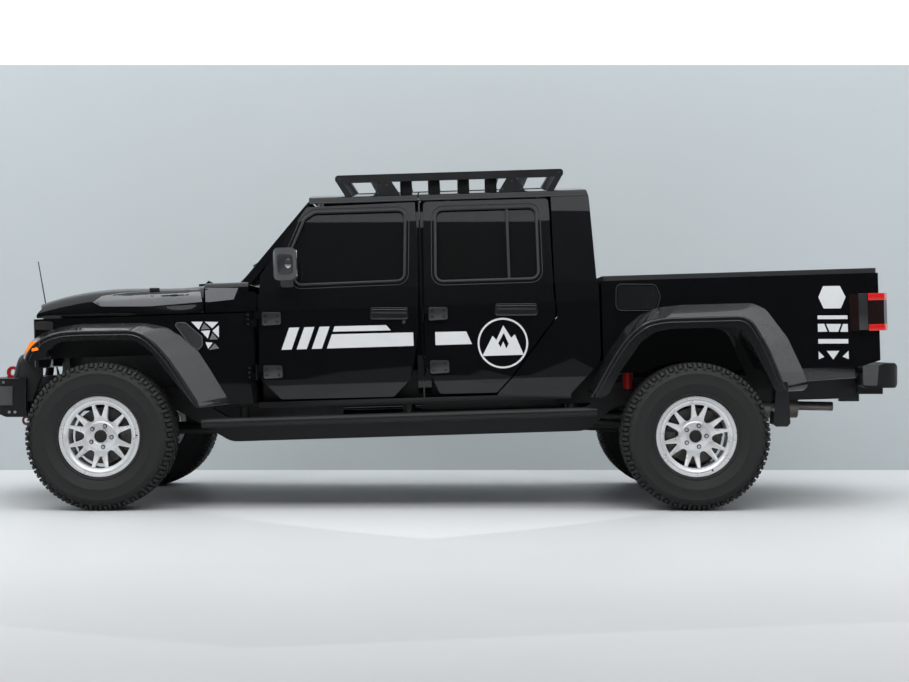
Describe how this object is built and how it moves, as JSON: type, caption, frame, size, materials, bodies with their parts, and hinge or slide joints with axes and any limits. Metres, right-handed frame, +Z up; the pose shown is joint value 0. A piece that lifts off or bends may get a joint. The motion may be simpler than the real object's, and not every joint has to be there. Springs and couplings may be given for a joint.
{
  "type": "lifted off-road pickup",
  "caption": "Lifted four-door off-road pickup with solid axles, steering, hinged doors, hood and tailgate, short bed and roof rack.",
  "frame": {"origin": "on the ground, below the middle of the vehicle's length and width", "axes": "+X forward, +Y to the vehicle's left, +Z up"},
  "size_m": [5.572, 2.017, 2.0287],
  "materials": {
    "body_paint": "gloss black lacquer",
    "flare_plastic": "satin black moulding",
    "satin_black_steel": "matte black powder coat",
    "chassis_steel": "semi matte black",
    "cast_metal": "cast",
    "exhaust_steel": "dull",
    "red_paint": "gloss red",
    "dark_glass": "dark tint",
    "lamp_glass": "clear",
    "amber_lens": "clear amber",
    "red_lens": "clear red",
    "interior_plastic": "grained",
    "grille_black": "gloss black",
    "seat_fabric": "woven",
    "tyre_rubber": "matte",
    "wheel_silver": "machined and lacquered"
  },
  "bodies": {
    "chassis": {"bed_box": "body_paint", "bed_cover": "flare_plastic", "body_sides": "body_paint", "cab_back_panel": "body_paint", "cab_floor": "interior_plastic", "coil_springs": "chassis_steel", "cowl": "body_paint", "dampers": "red_paint", "dashboard": "interior_plastic", "engine_block": "cast_metal", "exhaust": "exhaust_steel", "fixed_glass": "dark_glass", "front_axle": "chassis_steel", "front_bumper": "satin_black_steel", "front_wings": "body_paint", "fuel_tank": "chassis_steel", "gearbox": "cast_metal", "grille": "grille_black", "hardtop": "body_paint", "head_lamps": "lamp_glass", "ladder_frame": "chassis_steel", "propshafts": "chassis_steel", "radiator": "cast_metal", "rear_axle": "chassis_steel", "rear_bumper": "satin_black_steel", "recovery_hooks": "red_paint", "rock_rails": "satin_black_steel", "roll_cage": "satin_black_steel", "roof_panels": "body_paint", "roof_rack": "satin_black_steel", "seats": "seat_fabric", "side_markers": "amber_lens", "steering_wheel": "interior_plastic", "suspension_arms": "chassis_steel", "tail_lamps": "red_lens", "wheel_flares": "flare_plastic", "windscreen_frame": "body_paint"},
    "door_front_left": {"door_front_left": "body_paint", "glass_front_left": "dark_glass", "mirror_left": "flare_plastic"},
    "door_front_right": {"door_front_right": "body_paint", "glass_front_right": "dark_glass", "mirror_right": "flare_plastic"},
    "door_rear_left": {"door_rear_left": "body_paint", "glass_rear_left": "dark_glass"},
    "door_rear_right": {"door_rear_right": "body_paint", "glass_rear_right": "dark_glass"},
    "hood": {"hood": "body_paint"},
    "knuckle_left": {"knuckle_left": "chassis_steel"},
    "knuckle_right": {"knuckle_right": "chassis_steel"},
    "wheel_front_left": {"rim_front_left": "wheel_silver", "tyre_front_left": "tyre_rubber"},
    "wheel_front_right": {"rim_front_right": "wheel_silver", "tyre_front_right": "tyre_rubber"},
    "wheel_rear_left": {"rim_rear_left": "wheel_silver", "tyre_rear_left": "tyre_rubber"},
    "wheel_rear_right": {"rim_rear_right": "wheel_silver", "tyre_rear_right": "tyre_rubber"},
    "tailgate": {"tailgate": "body_paint"},
    "tie_rod": {"tie_rod": "chassis_steel"}
  },
  "joints": [
    {"name": "door_front_left_hinge", "type": "hinge", "parent": "chassis", "child": "door_front_left", "pos_m": [1.04121, 0.826, 1.13385], "axis": [-0.0305, 0, -0.9995], "range_deg": [0, 65]},
    {"name": "door_rear_left_hinge", "type": "hinge", "parent": "chassis", "child": "door_rear_left", "pos_m": [0.05285, 0.826, 1.17005], "axis": [-0.0305, 0, -0.9995], "range_deg": [0, 65]},
    {"name": "door_front_right_hinge", "type": "hinge", "parent": "chassis", "child": "door_front_right", "pos_m": [1.04121, -0.826, 1.13385], "axis": [0.0305, 0, 0.9995], "range_deg": [0, 65]},
    {"name": "door_rear_right_hinge", "type": "hinge", "parent": "chassis", "child": "door_rear_right", "pos_m": [0.05285, -0.826, 1.17005], "axis": [0.0305, 0, 0.9995], "range_deg": [0, 65]},
    {"name": "hood_hinge", "type": "hinge", "parent": "chassis", "child": "hood", "pos_m": [1.3604, 0, 1.34821], "axis": [0, -1, 0], "range_deg": [0, 50]},
    {"name": "tailgate_hinge", "type": "hinge", "parent": "chassis", "child": "tailgate", "pos_m": [-2.64964, 0, 0.90046], "axis": [0, -1, 0], "range_deg": [0, 90]},
    {"name": "steer_left", "type": "hinge", "parent": "chassis", "child": "knuckle_left", "pos_m": [1.936, 0.716, 0.432], "axis": [0, 0, 1], "range_deg": [-30, 30]},
    {"name": "steer_right", "type": "hinge", "parent": "chassis", "child": "knuckle_right", "pos_m": [1.936, -0.716, 0.432], "axis": [0, 0, 1], "range_deg": [-30, 30]},
    {"name": "tie_rod_pivot", "type": "hinge", "parent": "knuckle_left", "child": "tie_rod", "pos_m": [2.088, 0.716, 0.368], "axis": [0, 0, 1], "range_deg": [-30, 30]},
    {"name": "wheel_front_left_spin", "type": "hinge", "parent": "knuckle_left", "child": "wheel_front_left", "pos_m": [1.936, 0.85, 0.432], "axis": [0, 1, 0], "continuous": true},
    {"name": "wheel_front_right_spin", "type": "hinge", "parent": "knuckle_right", "child": "wheel_front_right", "pos_m": [1.936, -0.85, 0.432], "axis": [0, 1, 0], "continuous": true},
    {"name": "wheel_rear_left_spin", "type": "hinge", "parent": "chassis", "child": "wheel_rear_left", "pos_m": [-1.551, 0.85, 0.432], "axis": [0, 1, 0], "continuous": true},
    {"name": "wheel_rear_right_spin", "type": "hinge", "parent": "chassis", "child": "wheel_rear_right", "pos_m": [-1.551, -0.85, 0.432], "axis": [0, 1, 0], "continuous": true}
  ],
  "couplings": [
    {"joint": "steer_right", "follows": "steer_left", "ratio": 1},
    {"joint": "tie_rod_pivot", "follows": "steer_left", "ratio": -1}
  ]
}
